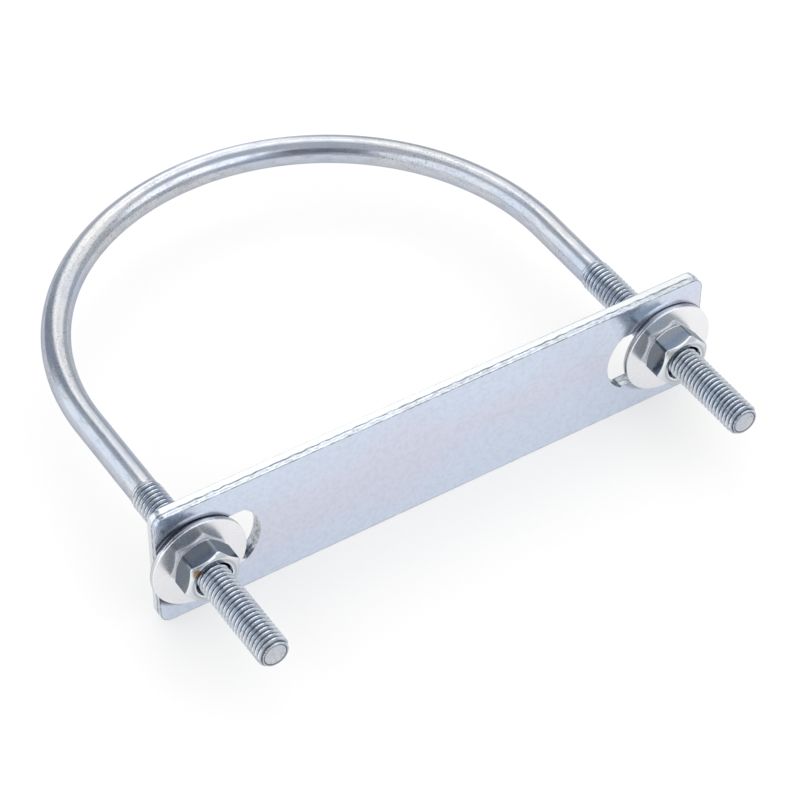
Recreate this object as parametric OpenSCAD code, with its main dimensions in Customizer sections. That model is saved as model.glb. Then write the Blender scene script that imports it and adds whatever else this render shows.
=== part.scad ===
// U-bolt with a slotted strap plate, two fender washers and two hex nuts.
// Frame: X along the strap, +Y from the strap towards the bend, +Z up.
// Origin: bottom centre of the whole assembly, with the U lying level.
// The bend starts on the line through both leg axes that bend_y names, and every
// Y position is worked out from the strap's front face, where the washers sit.

/* [U rod] */
// Distance between the axes of the two legs
leg_spacing = 128; // [60:1:200]
// Diameter of the plain round bar
shank_d = 7.2; // [6:0.1:7.4]
// Crest diameter of the rolled thread on the legs
thread_d = 8; // [7.8:0.1:8]
// Root diameter of the thread, which is also the diameter of the stud tips
root_d = 6.6; // [6:0.1:7]
// Pitch of the right-hand thread, which is how far a nut moves in one turn
pitch = 1.25; // [1:0.25:1.5]
// Distance from the strap's front face to the centre of the bend
strap_to_bend = 50; // [46:1:90]
// Length of the left leg in front of the strap
left_end = 34; // [26:0.5:56]
// Length of the right leg in front of the strap
right_end = 31.5; // [26:0.5:56]
// Length of the thread on the left leg
left_thread = 58; // [50:1:70]
// Length of the thread on the right leg
right_thread = 61.5; // [50:0.5:70]
// Length of the chamfer on each stud tip
tip_chamfer = 1; // [0.5:0.1:2]

/* [Strap plate] */
// How far the strap reaches past each leg's axis
strap_past = 10; // [7:0.5:30]
// Width of the strap
strap_w = 33; // [26:1:50]
// Thickness of the strap
strap_t = 3.5; // [2:0.5:6]
// Radius of the strap's four corners
strap_corner_r = 3; // [1:0.5:5]
// Width of the two slots
slot_w = 16; // [10:0.5:18]
// Radius of the arcs that close the slots at both ends
slot_end_r = 10; // [9:0.5:14]
// How far each slot reaches inwards from its leg's axis
slot_in = 16.5; // [10:0.5:20]
// How far each slot reaches outwards from its leg's axis
slot_out = 5.5; // [4.5:0.5:6]

/* [Washers] */
// Outer diameter of a washer
washer_d = 24; // [18:1:28]
// Bore of a washer
washer_bore = 8.8; // [8.8:0.1:9.4]
// Thickness of a washer
washer_t = 1.5; // [1:0.1:2.5]
// How far a clamped washer hangs below its stud's axis, within its bore's play
washer_drop = 0.3; // [0:0.05:0.3]

/* [Nuts] */
// Width across the flats of a nut
nut_af = 12.8; // [12.7:0.1:13]
// Height of a nut
nut_h = 6.5; // [6:0.1:7]
// Diameter of the flat ring on each end face, inside the chamfer
nut_face_d = 11.9; // [11:0.1:12.5]
// Diameter across the rounded corners
nut_corner_d = 14.4; // [14:0.1:14.6]
// Length of the chamfer, measured at a corner
nut_chamfer = 0.9; // [0.5:0.1:1.2]
// Running clearance between a nut's bore and the thread crests, on the radius
nut_clear = 0.05; // [0.02:0.01:0.1]
// Angle of the left nut, turned from a flat on top
left_nut_turn = 15.5; // [0:0.5:60]
// Angle of the right nut, turned from a flat on top
right_nut_turn = 12.8; // [0:0.1:60]

/* [Hidden] */
$fn = 96;

bend_r = leg_spacing / 2;
strap_len = leg_spacing + 2 * strap_past;
overall_y = left_end + strap_to_bend + bend_r + shank_d / 2;
strap_y = left_end - overall_y / 2;
bend_y = strap_y + strap_to_bend;
axis_z = strap_w / 2;
nut_y = strap_y - washer_t;
// A short cone leads from the plain bar up to the thread crests
runout = 0.8 * pitch;
// One thread root is cut at the nut's outer face, so that the free end is a wall of its own
root_gap = 0.64 * pitch;
// Countersink at both mouths of a nut's bore
sink_r = thread_d / 2 + 0.4;
sink_depth = 0.5;
// Anything that cuts through a solid runs past it by this much
past = 1;

// Turned outline of one leg: radius against distance from the bend towards the tip
function leg_outline(end, thread) =
    let (tip = strap_to_bend + end,
         start = tip - thread,
         root = strap_to_bend + washer_t + nut_h)
    [[0, 0],
     [shank_d / 2, 0],
     [shank_d / 2, start - runout],
     [thread_d / 2, start],
     [thread_d / 2, root - root_gap / 2],
     [root_d / 2, root - root_gap / 2],
     [root_d / 2, root + root_gap / 2],
     [thread_d / 2, root + root_gap / 2],
     [thread_d / 2, tip - tip_chamfer],
     [root_d / 2, tip],
     [0, tip]];

module leg(side, end, thread)
    translate([side * bend_r, bend_y, axis_z])
        rotate([90, 0, 0])
            rotate_extrude()
                polygon(leg_outline(end, thread));

module u_rod() color("#c9d0da") {
    translate([0, bend_y, axis_z])
        rotate_extrude(angle = 180)
            translate([bend_r, 0])
                circle(d = shank_d);
    leg(-1, left_end, left_thread);
    leg(1, right_end, right_thread);
}

// Plate outline in X and Z, with round corners
module strap_outline() {
    flat_x = strap_len - 2 * strap_corner_r;
    flat_z = strap_w - 2 * strap_corner_r;
    square([flat_x, strap_w], center = true);
    square([strap_len, flat_z], center = true);
    for (x = [-1, 1], z = [-1, 1])
        translate([x * flat_x / 2, z * flat_z / 2])
            circle(r = strap_corner_r);
}

// Slot with straight sides, closed by a shallow arc at each end
module slot_outline(side) {
    inner = bend_r - slot_in;
    outer = bend_r + slot_out;
    intersection() {
        translate([side * (inner + outer) / 2, 0])
            square([outer - inner, slot_w], center = true);
        union() {
            for (x = [inner + slot_end_r, outer - slot_end_r])
                translate([side * x, 0])
                    circle(r = slot_end_r);
        }
    }
}

module strap_plate() color("#c3cfe3")
    translate([0, strap_y + strap_t, axis_z])
        rotate([90, 0, 0])
            linear_extrude(strap_t)
                difference() {
                    strap_outline();
                    slot_outline(-1);
                    slot_outline(1);
                }

module washer(side) color("#e9e6ee")
    translate([side * bend_r, strap_y, axis_z - washer_drop])
        rotate([90, 0, 0])
            difference() {
                cylinder(d = washer_d, h = washer_t);
                translate([0, 0, -past])
                    cylinder(d = washer_bore, h = washer_t + 2 * past);
            }

// Turned blank that rounds the hexagon's corners and chamfers both end faces
module nut_blank()
    rotate_extrude()
        polygon([[0, 0],
                 [nut_face_d / 2, 0],
                 [nut_corner_d / 2, nut_chamfer],
                 [nut_corner_d / 2, nut_h - nut_chamfer],
                 [nut_face_d / 2, nut_h],
                 [0, nut_h]]);

// Bore with a countersink at both mouths
module nut_bore() {
    bore_r = thread_d / 2 + nut_clear;
    rotate_extrude()
        polygon([[0, -past],
                 [sink_r, -past],
                 [sink_r, 0],
                 [bore_r, sink_depth],
                 [bore_r, nut_h - sink_depth],
                 [sink_r, nut_h],
                 [sink_r, nut_h + past],
                 [0, nut_h + past]]);
}

module nut(side, turn) color("#9fa9b5")
    translate([side * bend_r, nut_y, axis_z])
        rotate([90, 0, 0])
            difference() {
                intersection() {
                    rotate([0, 0, turn])
                        cylinder(d = nut_af / cos(30), h = nut_h, $fn = 6);
                    nut_blank();
                }
                nut_bore();
            }

u_rod();
strap_plate();
washer(-1);  // washer_left
washer(1);  // washer_right
nut(-1, left_nut_turn);  // nut_left
nut(1, right_nut_turn);  // nut_right
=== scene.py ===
"""Looks of the U-bolt: detailed meshes, zinc-plate materials, studio light and camera.

Everything is in metres in the CAD frame: X along the strap, +Y from the strap to the bend,
+Z up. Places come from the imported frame, and the shapes keep inside the CAD boxes.
"""

import math

import bmesh
import bpy
import numpy as np
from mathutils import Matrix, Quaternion, Vector


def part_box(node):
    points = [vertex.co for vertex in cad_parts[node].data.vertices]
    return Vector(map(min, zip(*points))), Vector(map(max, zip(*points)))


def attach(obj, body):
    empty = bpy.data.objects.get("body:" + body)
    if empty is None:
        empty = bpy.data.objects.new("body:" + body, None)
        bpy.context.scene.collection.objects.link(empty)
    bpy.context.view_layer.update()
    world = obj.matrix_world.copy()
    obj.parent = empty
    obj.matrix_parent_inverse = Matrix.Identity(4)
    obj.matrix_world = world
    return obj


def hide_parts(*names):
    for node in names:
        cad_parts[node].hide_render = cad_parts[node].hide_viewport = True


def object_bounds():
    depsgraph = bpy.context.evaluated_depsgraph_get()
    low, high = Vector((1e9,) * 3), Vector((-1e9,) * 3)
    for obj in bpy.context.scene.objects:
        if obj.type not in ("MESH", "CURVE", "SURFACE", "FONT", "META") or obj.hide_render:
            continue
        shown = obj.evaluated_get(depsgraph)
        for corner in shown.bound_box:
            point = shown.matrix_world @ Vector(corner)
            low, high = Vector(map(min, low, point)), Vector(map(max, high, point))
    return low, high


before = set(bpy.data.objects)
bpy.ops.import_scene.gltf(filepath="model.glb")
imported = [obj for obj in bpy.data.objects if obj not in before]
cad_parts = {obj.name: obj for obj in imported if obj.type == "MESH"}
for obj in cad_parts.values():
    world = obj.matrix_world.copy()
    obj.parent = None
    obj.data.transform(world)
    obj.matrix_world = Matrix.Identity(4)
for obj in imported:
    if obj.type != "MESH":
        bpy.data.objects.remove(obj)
cad_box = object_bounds()

MM = 0.001
TAU = 2 * math.pi

# ---------------------------------------------------------------- sizes of the detail

SHANK_R = 3.6 * MM  # plain bar
ROOT_R = 3.25 * MM  # bottom of the rolled thread, and the stud tip's flat
PITCH = 1.25 * MM
THREADED = {-1: 58 * MM, 1: 61.5 * MM}  # thread length on the left and the right leg
RUN_OUT = 1.6 * PITCH  # over which the thread grows out of the plain bar
# One pitch of the thread, as (share of the pitch, share of the height), from crest to crest
THREAD_PROFILE = (
    (0.0, 1.0),
    (0.06, 0.97),
    (0.12, 0.82),
    (0.36, 0.14),
    (0.43, 0.02),
    (0.5, 0.0),
    (0.57, 0.02),
    (0.64, 0.14),
    (0.88, 0.82),
    (0.94, 0.97),
)
TIP_CHAMFER = 1 * MM
TIP_RINGS = (1.0, 0.97, 0.9, 0.84, 0.78, 0.72, 0.4, 0.0)  # as shares of the end face's radius
TIP_DISH = 0.14 * MM  # hollow that thread rolling leaves in the end face
DISH_EDGE = 0.9  # share of the radius where the hollow starts
DISH_SLOPE = 0.18  # share of the radius over which it reaches its depth
DISH_DARK = (0.83, 0.93)  # shares of the radius between which the end face is painted dark, with the recess shade value
MERGE = 1e-7  # points closer together than this are one
FACE_WEIGHT = 80  # of the large faces in a shared normal, where 50 counts all faces alike
AROUND = 72  # mesh columns round the rod
PLAIN_ROWS = 24
BEND_ROWS = 150
PLAIN_WEAR = 0.6
TIP_WEAR = 0.72
# Value that paints shade in the nut's bore. It also gives the dark ring on the stud's end face.
RECESS_SHADE = 0.1

STRAP_CORNER_R = 3 * MM
SLOT_HALF_W = 8 * MM
SLOT_END_R = 10 * MM
SLOT_IN = 16.5 * MM  # inwards from the leg's axis
SLOT_OUT = 5.5 * MM  # outwards from the leg's axis
ARC_STEP = 0.35 * MM  # spacing of the points round an arc
EDGE_STEP = 0.8 * MM  # spacing of the points along a straight sheared edge
BLOOM_RISE = 2.5 * MM  # of the lilac bloom above the strap's middle

BURR = 0.12 * MM  # bevel that the burr leaves along the front edge
TORN_DEPTH = 0.07 * MM  # how far the torn front half lies back from the burnished half
TORN_SHARE = 0.47  # of the thickness
# How the back edge is drawn over, as (how far inwards, share of the thickness)
BACK_EDGE = ((0.03 * MM, 0.92), (0.11 * MM, 0.97), (0.26 * MM, 1.0))
FACE_MARGIN = 0.2 * MM  # beside an edge, where its wear fades into the flat face
STRAP_ROUGHNESS = 1.0
SLOT_ROUGHNESS = 0.5
WASHER_ROUGHNESS = 0.4
# Wear and shade value of each row of a sheared wall, from the front face to the back face. On the
# washers the low rows at the back are painted shade.
STRAP_WEAR = (0.5, 0.1, 0.0, 0.28, 0.31, 0.28, 0.08, 0.5, 0.85, 0.85, 0.3, 0.0, 0.0, 0.5)
SLOT_WEAR = (0.5, 0.75, 0.7, 0.3, 0.15, 0.2, 0.0, 0.15, 0.22, 0.25, 0.25, 0.35, 0.5, 0.5)
WASHER_WEAR_AND_SHADE = (0.8, 1.0, 1.0, 0.7, 0.5, 0.45, 0.35, 0.45, 0.45, 0.3, 0.1, 0.0, 0.0, 0.8)

WASHER_BORE_R = 4.4 * MM
# Painted shadow: each washer gets a dark ring painted on the strap, a little up and to the left of
# where it is now. The ring stands in for the washer's contact shadow and the dark reflection of
# its rim. It fades in and out between these radii, and the last one is given with the ring's
# strength.
SHADOW_RING_SHIFT = Vector((-1.2, 0, 0.2)) * MM
SHADOW_RING_IN = (11 * MM, 12 * MM)
SHADOW_RING_OUT = 12 * MM
SHADOW_RINGS = {"washer_left": (0.92, 13.6 * MM), "washer_right": (0.45, 13.2 * MM)}

NUT_AF = 12.8 * MM  # across the flats
NUT_CORNER_R = 7.2 * MM
NUT_FACE_R = 5.95 * MM  # flat ring on each end face
NUT_CHAMFER = 0.9 * MM  # at a corner
NUT_SINK_R = 4.75 * MM  # countersink at both mouths of the bore
NUT_SINK = 0.7 * MM  # depth of the countersink
NUT_SINK_SLOPE = 0.8
NUT_SINK_MID = 0.375 * NUT_SINK
NUT_SINK_FILLET = 0.1 * MM
NUT_PLAY = 0.05 * MM  # between the nut's thread and the stud's
NUT_MINOR_R = 3.42 * MM
NUT_MOUTH = 0.5 * PITCH  # over which the nut's thread opens into the countersink
NUT_FILLET = 0.13 * MM
NUT_TURN = {"nut_left": 15.5, "nut_right": 12.8}  # degrees from a flat on top
STAIN_R = 5.7 * MM  # from the nut's axis
STAIN_SIZE = (0.7 * MM, 1.7 * MM)  # radii between which the stain fades
STAIN_SHARE = {"nut_left": 0.9, "nut_right": 0.35}
# Columns over one flat of a nut, as degrees from the flat's middle
FLAT_ANGLES = (-30, -28.6, -27.2, -24, -19, -14, -9.5, -5, 0, 5, 9.5, 14, 19, 24, 27.2, 28.6)

# ---------------------------------------------------------------- places, from the frame

rod_low, rod_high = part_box("u_rod")
THREAD_R = (rod_high.z - rod_low.z) / 2
AXIS_Z = (rod_high.z + rod_low.z) / 2
BEND_R = rod_high.x - THREAD_R
BEND_Y = rod_high.y - SHANK_R - BEND_R
rod_points = [v.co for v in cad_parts["u_rod"].data.vertices]
# Distance from the bend's centre line to each stud's tip
TIP = {side: BEND_Y - min(p.y for p in rod_points if p.x * side > 0) for side in (-1, 1)}


# ---------------------------------------------------------------- mesh building


class Shape:
    """Collects grids of points, then makes one closed mesh with a wear and shade value per point.

    The value runs from 0, in a root or recess, to 1, on a crest or edge that gets rubbed bright.
    The materials use its low end for painted shade in roots and recesses, and its high end partly
    for painted highlights on crests.
    """

    def __init__(self):
        self.points, self.wear_and_shade, self.faces = [], [], []

    def grid(self, points, wear_and_shade, shift=0):
        """Rows of points that close round. The last column joins the first, shift rows on."""
        rows, columns = points.shape[:2]
        start = len(self.points)
        self.points.extend(points.reshape(-1, 3).tolist())
        self.wear_and_shade.extend(np.broadcast_to(wear_and_shade, (rows, columns)).reshape(-1).tolist())
        for row in range(rows - 1):
            for column in range(columns):
                last = column == columns - 1
                step = shift if last else 0
                if row + 1 + step >= rows:
                    continue
                here = start + row * columns + column
                beside = start + (row + step) * columns + (column + 1) % columns
                self.faces.append((here, beside, beside + columns, here + columns))

    def finish(self, name, body, slot, material, fill_flats=None):
        """The merged mesh as an object that rides on its body.

        fill_flats finds the groups of open edges that bound a flat face with holes.
        """
        mesh = bpy.data.meshes.new(name)
        mesh.from_pydata(self.points, [], self.faces)
        wear_and_shade = mesh.attributes.new("wear_and_shade", "FLOAT", "POINT")
        wear_and_shade.data.foreach_set("value", np.array(self.wear_and_shade, np.float32))
        work = bmesh.new()
        work.from_mesh(mesh)
        bmesh.ops.remove_doubles(work, verts=work.verts, dist=MERGE)
        bmesh.ops.dissolve_degenerate(work, edges=work.edges, dist=0.1 * MERGE)
        if fill_flats:
            for edges in fill_flats(work):
                bmesh.ops.triangle_fill(work, use_beauty=True, use_dissolve=False, edges=edges)
        bmesh.ops.recalc_face_normals(work, faces=work.faces)
        work.to_mesh(mesh)
        work.free()
        mesh.polygons.foreach_set("use_smooth", [True] * len(mesh.polygons))
        piece = bpy.data.objects.new(name, mesh)
        bpy.context.scene.collection.objects.link(piece)
        piece.data.materials.append(material)
        normals = piece.modifiers.new("flat faces stay flat", "WEIGHTED_NORMAL")
        normals.mode = "FACE_AREA"
        normals.weight = FACE_WEIGHT
        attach(piece, body)
        return piece


def smooth(value):
    """Smooth step from 0 to 1."""
    t = np.clip(value, 0, 1)
    return t * t * (3 - 2 * t)


# ---------------------------------------------------------------- rod


def leg_points(side, distance, angle, radius):
    """Points on a leg, from the distance towards its tip, the angle round it and the radius."""
    x = side * BEND_R + radius * np.cos(angle)
    y = BEND_Y - distance + 0 * x
    z = AXIS_Z + radius * np.sin(angle)
    return np.stack(np.broadcast_arrays(x, y, z), axis=-1)


def thread_rows(low, high, angles):
    """Distance and height share of a right-hand thread, whose rows follow the helix."""
    first = math.floor(low / PITCH) - 2
    last = math.ceil(high / PITCH) + 2
    profile = np.array(THREAD_PROFILE)
    turns = (np.arange(first, last)[:, None] + profile[:, 0]).reshape(-1, 1)
    heights = np.tile(profile[:, 1], last - first)[:, None]
    distance = PITCH * (turns + angles[None, :] / TAU)
    return np.clip(distance, low, high), np.broadcast_to(heights, distance.shape)


def threaded_leg(shape, side, angles):
    """One leg from the bend to its tip: plain bar, thread and its run-out, chamfer, end face."""
    tip = TIP[side]
    start = tip - THREADED[side]
    plain = np.linspace(0, start, PLAIN_ROWS)[:, None]
    shape.grid(leg_points(side, plain, angles[None, :], SHANK_R), PLAIN_WEAR)
    distance, height = thread_rows(start, tip, angles)
    grown = smooth((distance - start) / RUN_OUT)
    crest = SHANK_R + (THREAD_R - SHANK_R) * grown
    root = SHANK_R + (ROOT_R - SHANK_R) * grown
    chamfer = ROOT_R + (tip - distance) * (THREAD_R - ROOT_R) / TIP_CHAMFER
    radius = np.minimum(root + (crest - root) * height, np.maximum(chamfer, ROOT_R))
    wear_and_shade = PLAIN_WEAR + (height - PLAIN_WEAR) * grown
    shape.grid(leg_points(side, distance, angles[None, :], radius), wear_and_shade, len(THREAD_PROFILE))
    share = np.array(TIP_RINGS)[:, None]
    dish = TIP_DISH * smooth((DISH_EDGE - share) / DISH_SLOPE)
    dark_ring = (share > DISH_DARK[0]) & (share < DISH_DARK[1])
    wear_and_shade = np.where(dark_ring, RECESS_SHADE, TIP_WEAR)
    shape.grid(leg_points(side, tip - dish, angles[None, :], ROOT_R * share), wear_and_shade)


def bar_position(points):
    """Position along, across and above the bar's centre line, so that drawn grain follows it."""
    x, y, z = points.T
    bent = y > BEND_Y
    angle = np.where(bent, np.arctan2(y - BEND_Y, x), np.where(x > 0, 0, math.pi))
    along = BEND_R * (angle - math.pi / 2) + np.where(bent, 0, np.sign(-x) * (BEND_Y - y))
    across = np.where(bent, np.hypot(x, y - BEND_Y), np.abs(x)) - BEND_R
    return np.stack([along, across, z - AXIS_Z], axis=-1)


def build_rod(material):
    """The round bar with both legs, as one piece."""
    shape = Shape()
    angles = np.arange(AROUND) * TAU / AROUND
    for side in (-1, 1):
        threaded_leg(shape, side, angles)
    turn = np.linspace(0, math.pi, BEND_ROWS)[:, None]
    reach = BEND_R + SHANK_R * np.cos(angles)[None, :]
    x, y = reach * np.cos(turn), BEND_Y + reach * np.sin(turn)
    z = AXIS_Z + SHANK_R * np.sin(angles)[None, :] + 0 * x
    shape.grid(np.stack([x, y, z], axis=-1), PLAIN_WEAR)
    rod = shape.finish("u_rod_detailed", "rod", "rod_zinc", material)
    places = np.array([v.co for v in rod.data.vertices])
    bar = rod.data.attributes.new("bar", "FLOAT_VECTOR", "POINT")
    bar.data.foreach_set("vector", bar_position(places).astype(np.float32).ravel())
    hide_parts("u_rod")


# ---------------------------------------------------------------- sheared plates


def arc(centre, radius, start, end):
    """Points on an arc in X and Z, from one angle to another in degrees, with both ends."""
    steps = max(3, round(abs(math.radians(end - start)) * radius / ARC_STEP))
    angles = np.radians(np.linspace(start, end, steps + 1))
    return [(centre[0] + radius * math.cos(a), centre[1] + radius * math.sin(a)) for a in angles]


def evenly(points, step):
    """The closed outline with extra points along each side that is longer than step."""
    spaced = []
    for (x0, z0), (x1, z1) in zip(points, points[1:] + points[:1]):
        length = math.hypot(x1 - x0, z1 - z0)
        if length < 1e-9:
            continue
        count = max(1, round(length / step))
        spaced += [(x0 + (x1 - x0) * i / count, z0 + (z1 - z0) * i / count) for i in range(count)]
    return np.array(spaced)


def outwards(outline):
    """Unit normals of a closed outline that runs counter-clockwise, in X and Z."""
    tangent = np.roll(outline, -1, axis=0) - np.roll(outline, 1, axis=0)
    tangent /= np.linalg.norm(tangent, axis=1)[:, None]
    return np.stack([tangent[:, 1], -tangent[:, 0]], axis=-1)


def wobble(outline, size, scale, seed):
    """A repeatable uneven value, roughly from -size to size, for each point along an outline.

    It adds seven sine waves that close up round the outline, each weaker than the last.
    """
    along = np.cumsum(np.linalg.norm(np.roll(outline, -1, axis=0) - outline, axis=1))
    total = along[-1]
    value = np.zeros(len(outline))
    for wave in range(1, 8):
        length = scale * 2 ** -(0.5**wave) * wave**0.5
        turns = max(1, round(total / length)) * wave
        start = seed * 7.3 + wave * wave * 2.1
        value += np.sin(TAU * turns * along / total + start) / wave
    return size * value / 1.8


def sheared_wall(shape, outline, plate, inward, seed, roughness, wear_and_shade):
    """The wall of a punched or sheared plate, from its front face (burr side) to its back face.

    The front half is torn and a little recessed, the back half is burnished, and the back
    edge is drawn over. inward is 1 where the solid is inside the outline, and -1 for a hole.
    """
    front, back = plate[0].y, plate[1].y
    normals = outwards(outline) * inward
    depth = back - front
    level = np.zeros(len(outline))
    step_at = TORN_SHARE + wobble(outline, 0.05, 6 * MM, seed)
    torn = level + TORN_DEPTH * roughness
    rough_a = torn * (1 + wobble(outline, 0.8, 2.2 * MM, seed + 1))
    rough_b = torn * (1 + wobble(outline, 0.8, 1.7 * MM, seed + 2))
    burr = BURR * (1 + wobble(outline, 0.35, 3 * MM, seed + 3))
    rows = [  # (how far inwards, share of the thickness from the front)
        (burr + torn + FACE_MARGIN, level),
        (burr + torn, level),
        (0.3 * burr + torn, level + 0.3 * burr / depth),
        (torn, burr / depth),
        (torn + rough_a, level + 0.18),
        (torn + rough_b, level + 0.33),
        (torn + 0.3 * rough_a, step_at - 0.035),
        (0.2 * torn, step_at + 0.02),
        (level, step_at + 0.08),
        (level, level + 0.86),
        *((level + inset, level + share) for inset, share in BACK_EDGE),
        (level + BACK_EDGE[-1][0] + FACE_MARGIN, level + 1),
    ]
    points = []
    for inset, share in rows:
        flat = outline - normals * inset[:, None]
        points.append(np.stack([flat[:, 0], front + share * depth, flat[:, 1]], axis=-1))
    shape.grid(np.array(points), np.array(wear_and_shade)[:, None])


def open_edges_at(front, back):
    """Finds the open edges in the plane of the front face and in that of the back face."""

    def find(work):
        for y in (front, back):
            open_edges = [edge for edge in work.edges if edge.is_boundary]
            yield [e for e in open_edges if all(abs(v.co.y - y) < 1e-6 for v in e.verts)]

    return find


def strap_outline(low, high):
    """The strap's outline with its round corners, counter-clockwise."""
    r = STRAP_CORNER_R
    corners = (
        (high.x - r, high.z - r, 0),
        (low.x + r, high.z - r, 90),
        (low.x + r, low.z + r, 180),
        (high.x - r, low.z + r, 270),
    )
    points = []
    for x, z, start in corners:
        points += arc((x, z), r, start, start + 90)
    return evenly(points, EDGE_STEP)


def slot_outline(side):
    """A slot: straight sides closed by a shallow arc at each end, counter-clockwise."""
    half = math.degrees(math.asin(SLOT_HALF_W / SLOT_END_R))
    ends = sorted((side * (BEND_R - SLOT_IN), side * (BEND_R + SLOT_OUT)))
    points = arc((ends[1] - SLOT_END_R, AXIS_Z), SLOT_END_R, -half, half)
    points += arc((ends[0] + SLOT_END_R, AXIS_Z), SLOT_END_R, 180 - half, 180 + half)
    return evenly(points, EDGE_STEP)


def build_strap(material):
    """The slotted flat bar."""
    low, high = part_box("strap_plate")
    shape = Shape()
    plate = (low, high)
    sheared_wall(shape, strap_outline(low, high), plate, 1, 0, STRAP_ROUGHNESS, STRAP_WEAR)
    for side in (-1, 1):
        slot = slot_outline(side)
        sheared_wall(shape, slot, plate, -1, 11 + side, SLOT_ROUGHNESS, SLOT_WEAR)
    strap = shape.finish(
        "strap_detailed", "strap", "strap_zinc", material, open_edges_at(low.y, high.y)
    )
    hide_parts("strap_plate")


def build_washer(node, body, material):
    """A stamped washer."""
    low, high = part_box(node)
    centre = ((low.x + high.x) / 2, (low.z + high.z) / 2)
    radius = (high.z - low.z) / 2
    shape = Shape()
    rim = np.array(arc(centre, radius, 0, 360)[:-1])
    bore = np.array(arc(centre, WASHER_BORE_R, 0, 360)[:-1])
    plate = (low, high)
    sheared_wall(shape, rim, plate, 1, centre[0], WASHER_ROUGHNESS, WASHER_WEAR_AND_SHADE)
    sheared_wall(shape, bore, plate, -1, centre[0] + 1, WASHER_ROUGHNESS, WASHER_WEAR_AND_SHADE)
    washer = shape.finish(
        node + "_detailed", body, "washer_zinc", material, open_edges_at(low.y, high.y)
    )
    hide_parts(node)


# ---------------------------------------------------------------- nuts


def rounded(before, corner, after, steps=3):
    """Rows of (radius, depth) that round a corner off between two points beside it."""
    rows = []
    for step in range(steps + 1):
        t = step / steps
        weights = ((1 - t) ** 2, 2 * t * (1 - t), t * t)
        parts = zip(before, corner, after)
        rows.append(tuple(sum(w * v for w, v in zip(weights, values)) for values in parts))
    return rows


def nut_angles(turn):
    """Angles of the columns round a nut, and the radius of its flats and round corners there."""
    angles, radii = [], []
    for flat in range(6):
        for offset in FLAT_ANGLES:
            angles.append(math.radians(turn + 30 + 60 * flat + offset))
            radii.append(min(NUT_AF / 2 / math.cos(math.radians(offset)), NUT_CORNER_R))
    return np.array(angles), np.array(radii)


def nut_end(radii):
    """Rows of (radius, depth, wear) from the countersink out to the start of the flats."""
    flat = 0 * radii
    slope = NUT_CHAMFER / (NUT_CORNER_R - NUT_FACE_R)
    edge_depth = (radii - NUT_FACE_R) * slope
    along = NUT_FILLET / math.hypot(1, slope)
    rows = []
    for depth, wear_and_shade in ((NUT_SINK, 0.0), (NUT_SINK_MID, 0.4)):
        rows.append((flat + NUT_SINK_R - NUT_SINK_SLOPE * depth, flat + depth, wear_and_shade))
    before = (NUT_SINK_R - NUT_SINK_SLOPE * NUT_SINK_FILLET, NUT_SINK_FILLET)
    after = (NUT_SINK_R + NUT_SINK_FILLET, 0)
    rows += [(flat + r, flat + d, 1.0) for r, d in rounded(before, (NUT_SINK_R, 0), after)]
    rows.append((flat + (NUT_SINK_R + NUT_FACE_R) / 2, flat, 0.6))
    before = (NUT_FACE_R - NUT_FILLET, 0)
    after = (NUT_FACE_R + along, along * slope)
    rows += [(flat + r, flat + d, 0.9) for r, d in rounded(before, (NUT_FACE_R, 0), after)]
    before = (radii - along, edge_depth - along * slope)
    after = (radii, edge_depth + NUT_FILLET)
    rows += [(r, d, 1.0) for r, d in rounded(before, (radii, edge_depth), after)]
    rows.append((radii, edge_depth + 2 * NUT_FILLET, 0.5))
    return rows


def build_nut(node, body, material):
    """A chamfered hex nut with a countersunk bore and a thread that meshes with its stud."""
    low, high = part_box(node)
    side = 1 if high.x > 0 else -1
    near = BEND_Y - high.y
    far = BEND_Y - low.y
    angles, radii = nut_angles(NUT_TURN[node])
    shape = Shape()
    end = nut_end(radii)
    rows = [(far - depth, radius, wear_and_shade) for radius, depth, wear_and_shade in end]
    rows += [(near + depth, radius, wear_and_shade) for radius, depth, wear_and_shade in reversed(end)]
    points = [leg_points(side, distance, angles, radius) for distance, radius, _ in rows]
    wear_and_shade = np.array([np.full(len(angles), row_wear_and_shade) for _, _, row_wear_and_shade in rows])
    shape.grid(np.array(points), wear_and_shade)
    angles = np.sort(angles % TAU)
    distance, height = thread_rows(near + NUT_SINK, far - NUT_SINK, angles)
    radius = np.maximum(ROOT_R + (THREAD_R - ROOT_R) * height + NUT_PLAY, NUT_MINOR_R)
    mouth = np.minimum(distance - near, far - distance) - NUT_SINK
    open_up = 1 - smooth(mouth / NUT_MOUTH)
    radius += (NUT_SINK_R - NUT_SINK_SLOPE * NUT_SINK - radius) * open_up
    bore = leg_points(side, distance, angles[None, :], radius)
    # The bore gets the painted shade value
    shape.grid(bore, RECESS_SHADE, len(THREAD_PROFILE))
    nut = shape.finish(node + "_detailed", body, "nut_zinc", material)
    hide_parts(node)


# ---------------------------------------------------------------- materials


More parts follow.
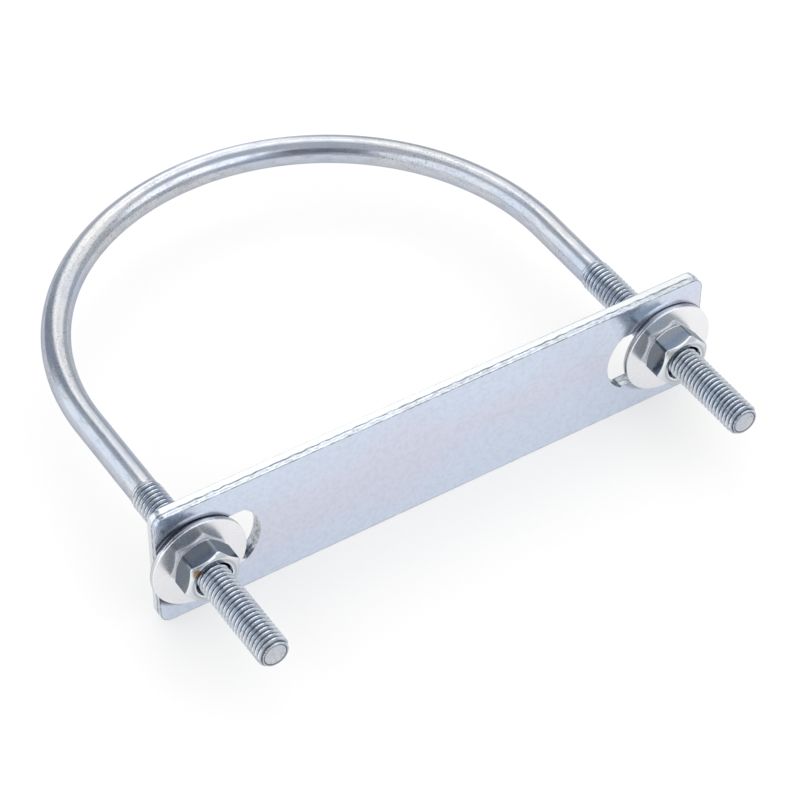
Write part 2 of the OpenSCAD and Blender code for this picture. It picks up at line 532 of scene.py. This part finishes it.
class Shader:
    """A Principled material and short calls that add procedural nodes to it."""

    def __init__(self, name):
        self.material = bpy.data.materials.new(name)
        self.material.use_nodes = True
        self.nodes = self.material.node_tree.nodes
        self.links = self.material.node_tree.links
        self.surface = self.nodes["Principled BSDF"]
        self.surface.inputs["Metallic"].default_value = 1.0

    def put(self, value, socket):
        """Links a socket, or sets a constant on it."""
        if isinstance(value, bpy.types.NodeSocket):
            self.links.new(value, socket)
        else:
            socket.default_value = value

    def place(self, attribute=None):
        """Texture position: the piece's own rest position, or a stored one."""
        if attribute:
            node = self.nodes.new("ShaderNodeAttribute")
            node.attribute_name = attribute
            return node.outputs["Vector"]
        return self.nodes.new("ShaderNodeTexCoord").outputs["Object"]

    def wear_and_shade(self):
        """The mesh's wear and painted shade value."""
        node = self.nodes.new("ShaderNodeAttribute")
        node.attribute_name = "wear_and_shade"
        return node.outputs["Fac"]

    def stretch(self, vector, scale):
        """The vector times a scale per axis."""
        node = self.nodes.new("ShaderNodeMapping")
        self.put(vector, node.inputs["Vector"])
        node.inputs["Scale"].default_value = scale
        return node.outputs["Vector"]

    def noise(self, vector, scale, detail=3.0, rough=0.55):
        """Smooth noise around 0.5."""
        node = self.nodes.new("ShaderNodeTexNoise")
        self.put(vector, node.inputs["Vector"])
        node.inputs["Scale"].default_value = scale
        node.inputs["Detail"].default_value = detail
        node.inputs["Roughness"].default_value = rough
        return node.outputs["Fac"]

    def spread(self, value, low, high, to_low=0.0, to_high=1.0):
        """Maps a range smoothly onto another."""
        node = self.nodes.new("ShaderNodeMapRange")
        node.interpolation_type = "SMOOTHSTEP"
        self.put(value, node.inputs["Value"])
        node.inputs["From Min"].default_value = low
        node.inputs["From Max"].default_value = high
        node.inputs["To Min"].default_value = to_low
        node.inputs["To Max"].default_value = to_high
        return node.outputs["Result"]

    def mix(self, share, a, b):
        """Colour a, turned into colour b by a share from 0 to 1."""
        node = self.nodes.new("ShaderNodeMix")
        node.data_type = "RGBA"
        self.put(share, node.inputs["Factor"])
        colour_inputs = [socket for socket in node.inputs if socket.type == "RGBA"]
        for value, socket in zip((a, b), colour_inputs):
            self.put((*value, 1) if isinstance(value, tuple) else value, socket)
        return next(s for s in node.outputs if s.type == "RGBA")

    def math(self, operation, a, b=0.0):
        """One value from two, or from one."""
        node = self.nodes.new("ShaderNodeMath")
        node.operation = operation
        self.put(a, node.inputs[0])
        self.put(b, node.inputs[1])
        return node.outputs["Value"]

    def plus(self, a, b):
        """The sum of two values."""
        return self.math("ADD", a, b)

    def minus(self, a, b):
        """The first value less the second."""
        return self.math("SUBTRACT", a, b)

    def times(self, a, b):
        """The product of two values."""
        return self.math("MULTIPLY", a, b)

    def near(self, vector, point, inner, outer):
        """1 within the inner distance of a point, falling to 0 at the outer one."""
        node = self.nodes.new("ShaderNodeVectorMath")
        node.operation = "DISTANCE"
        self.put(vector, node.inputs[0])
        node.inputs[1].default_value = point
        return self.spread(node.outputs["Value"], inner, outer, 1.0, 0.0)

    def bump(self, height, distance, strength, below=None):
        """A normal from a height, on top of the bump below."""
        node = self.nodes.new("ShaderNodeBump")
        node.inputs["Distance"].default_value = distance
        node.inputs["Strength"].default_value = strength
        self.put(height, node.inputs["Height"])
        if below is not None:
            self.put(below, node.inputs["Normal"])
        return node.outputs["Normal"]

    def finish(self, colour, roughness, normal):
        """Links the results to the surface and gives the material."""
        self.put(colour, self.surface.inputs["Base Color"])
        self.put(roughness, self.surface.inputs["Roughness"])
        self.put(normal, self.surface.inputs["Normal"])
        return self.material


def rod_material():
    """Bright zinc on drawn bar: fine grain along the bar, soft waves, painted shade in the thread
    roots, and crests that are rubbed and carry a painted highlight.
    """
    cool, warm = (0.51, 0.55, 0.63), (0.58, 0.59, 0.62)
    scuffed, spotted = (0.36, 0.38, 0.42), (0.25, 0.23, 0.21)
    root, crest_wear_and_highlight, worn_crest = (0.05, 0.08, 0.12), (0.85, 0.94, 1.0), (0.18, 0.21, 0.25)
    s = Shader("zinc_rod")
    bar = s.place("bar")
    grain = s.noise(s.stretch(bar, (90, 2600, 2600)), 1.0, 4)
    scuffs = s.noise(s.stretch(bar, (200, 800, 800)), 1.0, 5, 0.7)
    clouds = s.noise(bar, 45, 3)
    specks = s.spread(s.noise(bar, 1900, 3, 0.7), 0.52, 0.68)
    patches = s.spread(s.noise(s.stretch(bar, (40, 160, 160)), 1.0, 2), 0.42, 0.66, 0.1, 0.75)
    streaks = s.spread(s.noise(s.stretch(bar, (130, 800, 800)), 1.0, 4, 0.65), 0.48, 0.62)
    crest = s.spread(s.wear_and_shade(), 0.7, 1.0)
    colour = s.mix(s.spread(clouds, 0.35, 0.65), cool, warm)
    colour = s.mix(s.spread(scuffs, 0.45, 0.75, 0.0, 0.6), colour, scuffed)
    colour = s.mix(s.times(specks, patches), colour, spotted)
    # Painted shade darkens the thread roots, and the crests are partly rubbed bright and partly a
    # painted highlight
    colour = s.mix(s.spread(s.wear_and_shade(), 0.0, 0.55, 0.92, 0.0), colour, root)
    colour = s.mix(s.times(crest, 0.8), colour, crest_wear_and_highlight)
    colour = s.mix(s.times(s.times(crest, streaks), 0.7), colour, worn_crest)
    s.surface.inputs["Specular Tint"].default_value = (0.6, 0.63, 0.7, 1)
    rough = s.plus(s.spread(scuffs, 0.3, 0.8, 0.13, 0.3), s.spread(grain, 0.3, 0.7, 0.0, 0.06))
    waves = s.noise(s.stretch(bar, (140, 260, 260)), 1.0, 2)
    normal = s.bump(waves, 0.06 * MM, 0.5)
    normal = s.bump(grain, 0.012 * MM, 0.5, normal)
    return s.finish(colour, rough, normal)


def strap_material():
    """Satin blue-passivated zinc: a lilac bloom along the middle, mottled grain, bright edges, and
    a painted shadow ring round each washer.
    """
    blue, lilac, mottled = (0.64, 0.71, 0.835), (0.665, 0.68, 0.79), (0.48, 0.50, 0.58)
    burnished, nicked = (0.67, 0.70, 0.705), (0.36, 0.38, 0.37)
    dark_line, torn_pits, painted_shadow = (0.21, 0.22, 0.215), (0.24, 0.24, 0.23), (0.04, 0.05, 0.07)
    s = Shader("zinc_strap")
    place = s.place()
    low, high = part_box("strap_plate")
    split = s.nodes.new("ShaderNodeSeparateXYZ")
    s.put(place, split.inputs["Vector"])
    off_middle = s.minus(split.outputs["Z"], (low.z + high.z) / 2 + BLOOM_RISE)
    off_middle = s.math("ABSOLUTE", off_middle)
    drift = s.plus(s.spread(s.noise(place, 30, 3), 0.3, 0.7, -6 * MM, 6 * MM), off_middle)
    bloom = s.spread(drift, 2 * MM, 14 * MM, 1.0, 0.0)
    mottle = s.noise(place, 900, 4, 0.6)
    grit = s.noise(s.stretch(place, (900, 2200, 2200)), 1.0, 4, 0.7)
    smears = s.noise(s.stretch(place, (320, 1100, 1100)), 1.0, 4, 0.7)
    colour = s.mix(bloom, blue, lilac)
    colour = s.mix(s.spread(mottle, 0.4, 0.7, 0.0, 0.26), colour, mottled)
    colour = s.mix(s.spread(s.wear_and_shade(), 0.55, 0.85, 0.0, 0.85), colour, burnished)
    nicks = s.times(s.spread(s.wear_and_shade(), 0.6, 0.85), s.spread(grit, 0.56, 0.7))
    colour = s.mix(s.times(nicks, 0.45), colour, nicked)
    # Darker lines along the burr, the step and the drawn-over back edge, broken up by smears
    low_wear = s.spread(s.wear_and_shade(), 0.0, 0.48, 1.2, 0.0)
    colour = s.mix(s.times(low_wear, s.spread(smears, 0.38, 0.6, 0.3, 1.0)), colour, dark_line)
    torn = s.times(s.spread(s.wear_and_shade(), 0.3, 0.48, 1.0, 0.0), s.spread(grit, 0.5, 0.66))
    colour = s.mix(s.times(torn, 0.65), colour, torn_pits)
    front = s.spread(split.outputs["Y"], low.y, low.y + 0.4 * MM, 1.0, 0.0)
    # Painted shadow: a dark ring round each washer's place, for its contact shadow and the dark
    # reflection of its rim
    for node, (share, reach) in SHADOW_RINGS.items():
        centre = face_centre(node) + SHADOW_RING_SHIFT
        disc = s.near(place, centre, SHADOW_RING_OUT, reach)
        ring = s.minus(disc, s.near(place, centre, *SHADOW_RING_IN))
        colour = s.mix(s.times(s.times(ring, front), share), colour, painted_shadow)
    lines = s.noise(s.stretch(place, (60, 60, 2400)), 1.0, 4)
    rough = s.plus(s.spread(mottle, 0.3, 0.7, 0.13, 0.19), s.spread(lines, 0.4, 0.7, 0.0, 0.05))
    normal = s.bump(s.noise(place, 160, 2), 0.02 * MM, 0.4)
    normal = s.bump(mottle, 0.002 * MM, 0.5, normal)
    return s.finish(colour, rough, normal)


def washer_material(name):
    """Bright satin zinc with faint tumbling scratches, and painted shade on the back of its walls,
    where it meets the strap.
    """
    cool, warm = (0.84, 0.85, 0.88), (0.87, 0.86, 0.88)
    scratched, painted_recess_shade = (0.62, 0.64, 0.68), (0.07, 0.09, 0.12)
    s = Shader(name)
    place = s.place()
    clouds = s.noise(place, 160, 3)
    scratches = s.noise(s.stretch(place, (300, 300, 2600)), 1.0, 5, 0.7)
    colour = s.mix(s.spread(clouds, 0.35, 0.65), cool, warm)
    colour = s.mix(s.spread(scratches, 0.6, 0.8, 0.0, 0.25), colour, scratched)
    # Painted shade: the back rows of the rim and bore walls turn near-black, where the washer
    # meets the strap
    colour = s.mix(s.spread(s.wear_and_shade(), 0.0, 0.7, 1.0, 0.0), colour, painted_recess_shade)
    rough = s.spread(scratches, 0.3, 0.8, 0.21, 0.32)
    normal = s.bump(s.noise(place, 420, 2), 0.005 * MM, 0.3)
    normal = s.bump(scratches, 0.0015 * MM, 0.3, normal)
    return s.finish(colour, rough, normal)


def nut_material(name, stain, stain_share):
    """Smooth zinc over forged steel: darker flats, bright rubbed edges, one amber stain, and
    painted shade in the bore and the countersinks.
    """
    cool, warm, scuffed = (0.18, 0.215, 0.26), (0.205, 0.22, 0.235), (0.17, 0.19, 0.22)
    end_face, edge = (0.66, 0.70, 0.74), (0.88, 0.90, 0.92)
    painted_recess_shade, amber = (0.06, 0.075, 0.10), (0.24, 0.135, 0.03)
    s = Shader(name)
    place = s.place()
    clouds = s.noise(place, 240, 3)
    scuffs = s.noise(place, 1300, 5, 0.65)
    colour = s.mix(s.spread(clouds, 0.35, 0.65), cool, warm)
    colour = s.mix(s.spread(scuffs, 0.5, 0.8, 0.0, 0.4), colour, scuffed)
    colour = s.mix(s.spread(s.wear_and_shade(), 0.52, 0.62, 0.0, 0.62), colour, end_face)
    colour = s.mix(s.spread(s.wear_and_shade(), 0.75, 1.0, 0.0, 0.8), colour, edge)
    # Painted shade in the threaded bore and at the bottom of the countersinks
    colour = s.mix(s.spread(s.wear_and_shade(), 0.0, 0.4, 0.8, 0.0), colour, painted_recess_shade)
    uneven = s.spread(s.noise(place, 700, 3), 0.3, 0.5)
    mark = s.times(s.near(place, stain, *STAIN_SIZE), uneven)
    colour = s.mix(s.times(mark, stain_share), colour, amber)
    s.surface.inputs["Specular Tint"].default_value = (0.55, 0.6, 0.66, 1)
    rough = s.spread(scuffs, 0.3, 0.8, 0.12, 0.26)
    normal = s.bump(clouds, 0.03 * MM, 0.4)
    normal = s.bump(scuffs, 0.006 * MM, 0.4, normal)
    return s.finish(colour, rough, normal)


def face_centre(node):
    """The middle of a washer's back face, where it lies on the strap."""
    low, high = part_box(node)
    return Vector(((low.x + high.x) / 2, high.y, (low.z + high.z) / 2))


def stain_place(node):
    """Where the amber stain sits: on the upper corner of the nut's outer face."""
    low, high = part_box(node)
    corner = math.radians(NUT_TURN[node] + 120)
    x = (low.x + high.x) / 2 + STAIN_R * math.cos(corner)
    z = (low.z + high.z) / 2 + STAIN_R * math.sin(corner)
    return Vector((x, low.y, z))


# ---------------------------------------------------------------- studio

FLOOR_COLOUR = (0.36, 0.36, 0.36)
FLOOR_GLOW = 0.57  # the floor shines a little by itself, which keeps the shadows faint
FLOOR_REACH = 6.0
BACKDROP = (0.95, 0.95, 0.95)
ROOM = (0.64, 0.67, 0.71)  # what the metal reflects between the lights
LIGHT_DISTANCE = 1.3
LIGHT_ENERGY = 4  # of each square metre of an area light, for a radiance of 1
FLAG_DISTANCE = 0.8 * LIGHT_DISTANCE
BACK_FLAG_LEAN = 18  # degrees
MIDDLE = (cad_box[0] + cad_box[1]) / 2


def direction(azimuth, elevation):
    """Unit vector. Azimuth 0 is +Y and 90 is +X."""
    a, e = math.radians(azimuth), math.radians(elevation)
    return Vector((math.sin(a) * math.cos(e), math.cos(a) * math.cos(e), math.sin(e)))


def half_span(distance, degrees):
    """Half the width of something that spans so many degrees at a distance."""
    return distance * math.tan(math.radians(degrees / 2))


def rectangle(name, half_w, half_h):
    """A level rectangle round the origin, as a new object."""
    corners = [(x * half_w, y * half_h, 0) for x, y in ((-1, -1), (1, -1), (1, 1), (-1, 1))]
    mesh = bpy.data.meshes.new(name)
    mesh.from_pydata(corners, [], [(0, 1, 2, 3)])
    flat = bpy.data.objects.new(name, mesh)
    bpy.context.scene.collection.objects.link(flat)
    return flat


def softbox(name, azimuth, elevation, wide, high, radiance, colour):
    """A soft area light that spans so many degrees as seen from the object.

    In a reflection its radiance adds to the room's.
    """
    light = bpy.data.lights.new(name, "AREA")
    light.shape = "RECTANGLE"
    light.size = 2 * half_span(LIGHT_DISTANCE, wide)
    light.size_y = 2 * half_span(LIGHT_DISTANCE, high)
    light.energy = radiance * LIGHT_ENERGY * light.size * light.size_y
    light.color = colour
    lamp = bpy.data.objects.new(name, light)
    bpy.context.scene.collection.objects.link(lamp)
    aim = direction(azimuth, elevation)
    lamp.location = MIDDLE + aim * LIGHT_DISTANCE
    lamp.rotation_mode = "QUATERNION"
    lamp.rotation_quaternion = aim.to_track_quat("Z", "Y")
    lamp.visible_camera = False


def flag(name, azimuth, elevation, wide, high, shade, lean=0):
    """A dark card that only shows as a reflection in the metal. It may lean by some degrees."""
    material = bpy.data.materials.new(name)
    material.use_nodes = True
    tree = material.node_tree
    tree.nodes.clear()
    glow = tree.nodes.new("ShaderNodeEmission")
    glow.inputs["Color"].default_value = (*shade, 1)
    out = tree.nodes.new("ShaderNodeOutputMaterial")
    tree.links.new(glow.outputs["Emission"], out.inputs["Surface"])
    card = rectangle(name, half_span(FLAG_DISTANCE, wide), half_span(FLAG_DISTANCE, high))
    card.data.materials.append(material)
    aim = direction(azimuth, elevation)
    leaning = Quaternion((0, 0, 1), math.radians(lean))
    card.location = MIDDLE + aim * FLAG_DISTANCE
    card.rotation_mode = "QUATERNION"
    card.rotation_quaternion = aim.to_track_quat("Z", "Y") @ leaning
    card.visible_camera = False
    card.visible_diffuse = False
    card.visible_shadow = False


def build_floor():
    """A plain pale floor that glows a little."""
    material = bpy.data.materials.new("floor")
    material.use_nodes = True
    surface = material.node_tree.nodes["Principled BSDF"]
    surface.inputs["Base Color"].default_value = (*FLOOR_COLOUR, 1)
    surface.inputs["Roughness"].default_value = 0.9
    surface.inputs["Specular IOR Level"].default_value = 0.1
    surface.inputs["Emission Color"].default_value = (1, 1, 1, 1)
    surface.inputs["Emission Strength"].default_value = FLOOR_GLOW
    floor = rectangle("floor", FLOOR_REACH, FLOOR_REACH)
    floor.data.materials.append(material)


def build_world():
    """A pale backdrop that lights the floor evenly, and a dimmer room for the metal to reflect."""
    world = bpy.data.worlds.new("studio")
    bpy.context.scene.world = world
    world.use_nodes = True
    nodes, links = world.node_tree.nodes, world.node_tree.links
    room = nodes["Background"]
    room.inputs["Color"].default_value = (*ROOM, 1)
    backdrop = nodes.new("ShaderNodeBackground")
    backdrop.inputs["Color"].default_value = (*BACKDROP, 1)
    path = nodes.new("ShaderNodeLightPath")
    choose = nodes.new("ShaderNodeMixShader")
    links.new(path.outputs["Is Glossy Ray"], choose.inputs[0])
    links.new(backdrop.outputs["Background"], choose.inputs[1])
    links.new(room.outputs["Background"], choose.inputs[2])
    links.new(choose.outputs["Shader"], nodes["World Output"].inputs["Surface"])


def build_lights():
    """Lights and flags: azimuth, elevation, width and height in degrees, then light and colour."""
    softbox("left_softbox", -78, 20, 84, 62, 0.58, (0.93, 0.97, 1.0))
    softbox("front_right_softbox", 148, 42, 54, 36, 0.9, (1.0, 1.0, 1.0))
    softbox("back_right_softbox", 46, 41, 66, 40, 0.55, (1.0, 0.93, 0.8))
    softbox("back_strip", 23, 20, 10, 40, 0.8, (1.0, 0.95, 0.85))
    softbox("top_softbox", 14, 62, 40, 26, 0.6, (1.0, 0.97, 0.92))
    flag("back_left_flag", -14, 27, 22, 62, (0.35, 0.39, 0.45), BACK_FLAG_LEAN)
    flag("camera_side_flag", -148, 30, 35, 40, (0.22, 0.235, 0.26))


# ---------------------------------------------------------------- camera

VIEW_AZIMUTH = -32.57  # degrees, 0 looks along +Y
VIEW_ELEVATION = 44.46
VIEW_DISTANCE = 732.8 * MM
VIEW_OFFSET = Vector((-3.4, -30.7, 7.6)) * MM  # of the aim from the middle of the CAD box
LENS = 143.6
SENSOR = 36.0


def build_camera():
    """The camera at the photograph's viewing angle."""
    a, e = math.radians(VIEW_AZIMUTH), math.radians(VIEW_ELEVATION)
    back = Vector((math.sin(a) * math.cos(e), -math.cos(a) * math.cos(e), math.sin(e)))
    data = bpy.data.cameras.new("camera")
    data.lens = LENS
    data.sensor_width = SENSOR
    data.clip_start = 0.01
    data.clip_end = 50
    camera = bpy.data.objects.new("camera", data)
    bpy.context.scene.collection.objects.link(camera)
    camera.location = MIDDLE + VIEW_OFFSET + back * VIEW_DISTANCE
    camera.rotation_mode = "QUATERNION"
    camera.rotation_quaternion = back.to_track_quat("Z", "Y")
    bpy.context.scene.camera = camera


# ---------------------------------------------------------------- the scene

bpy.context.scene.view_settings.view_transform = "Standard"
build_rod(rod_material())
build_strap(strap_material())
for hand in ("left", "right"):
    build_washer("washer_" + hand, hand + "_washer", washer_material("zinc_washer_" + hand))
    node = "nut_" + hand
    finish = nut_material("zinc_nut_" + hand, stain_place(node), STAIN_SHARE[node])
    build_nut(node, hand + "_nut", finish)
build_floor()
build_world()
build_lights()
build_camera()
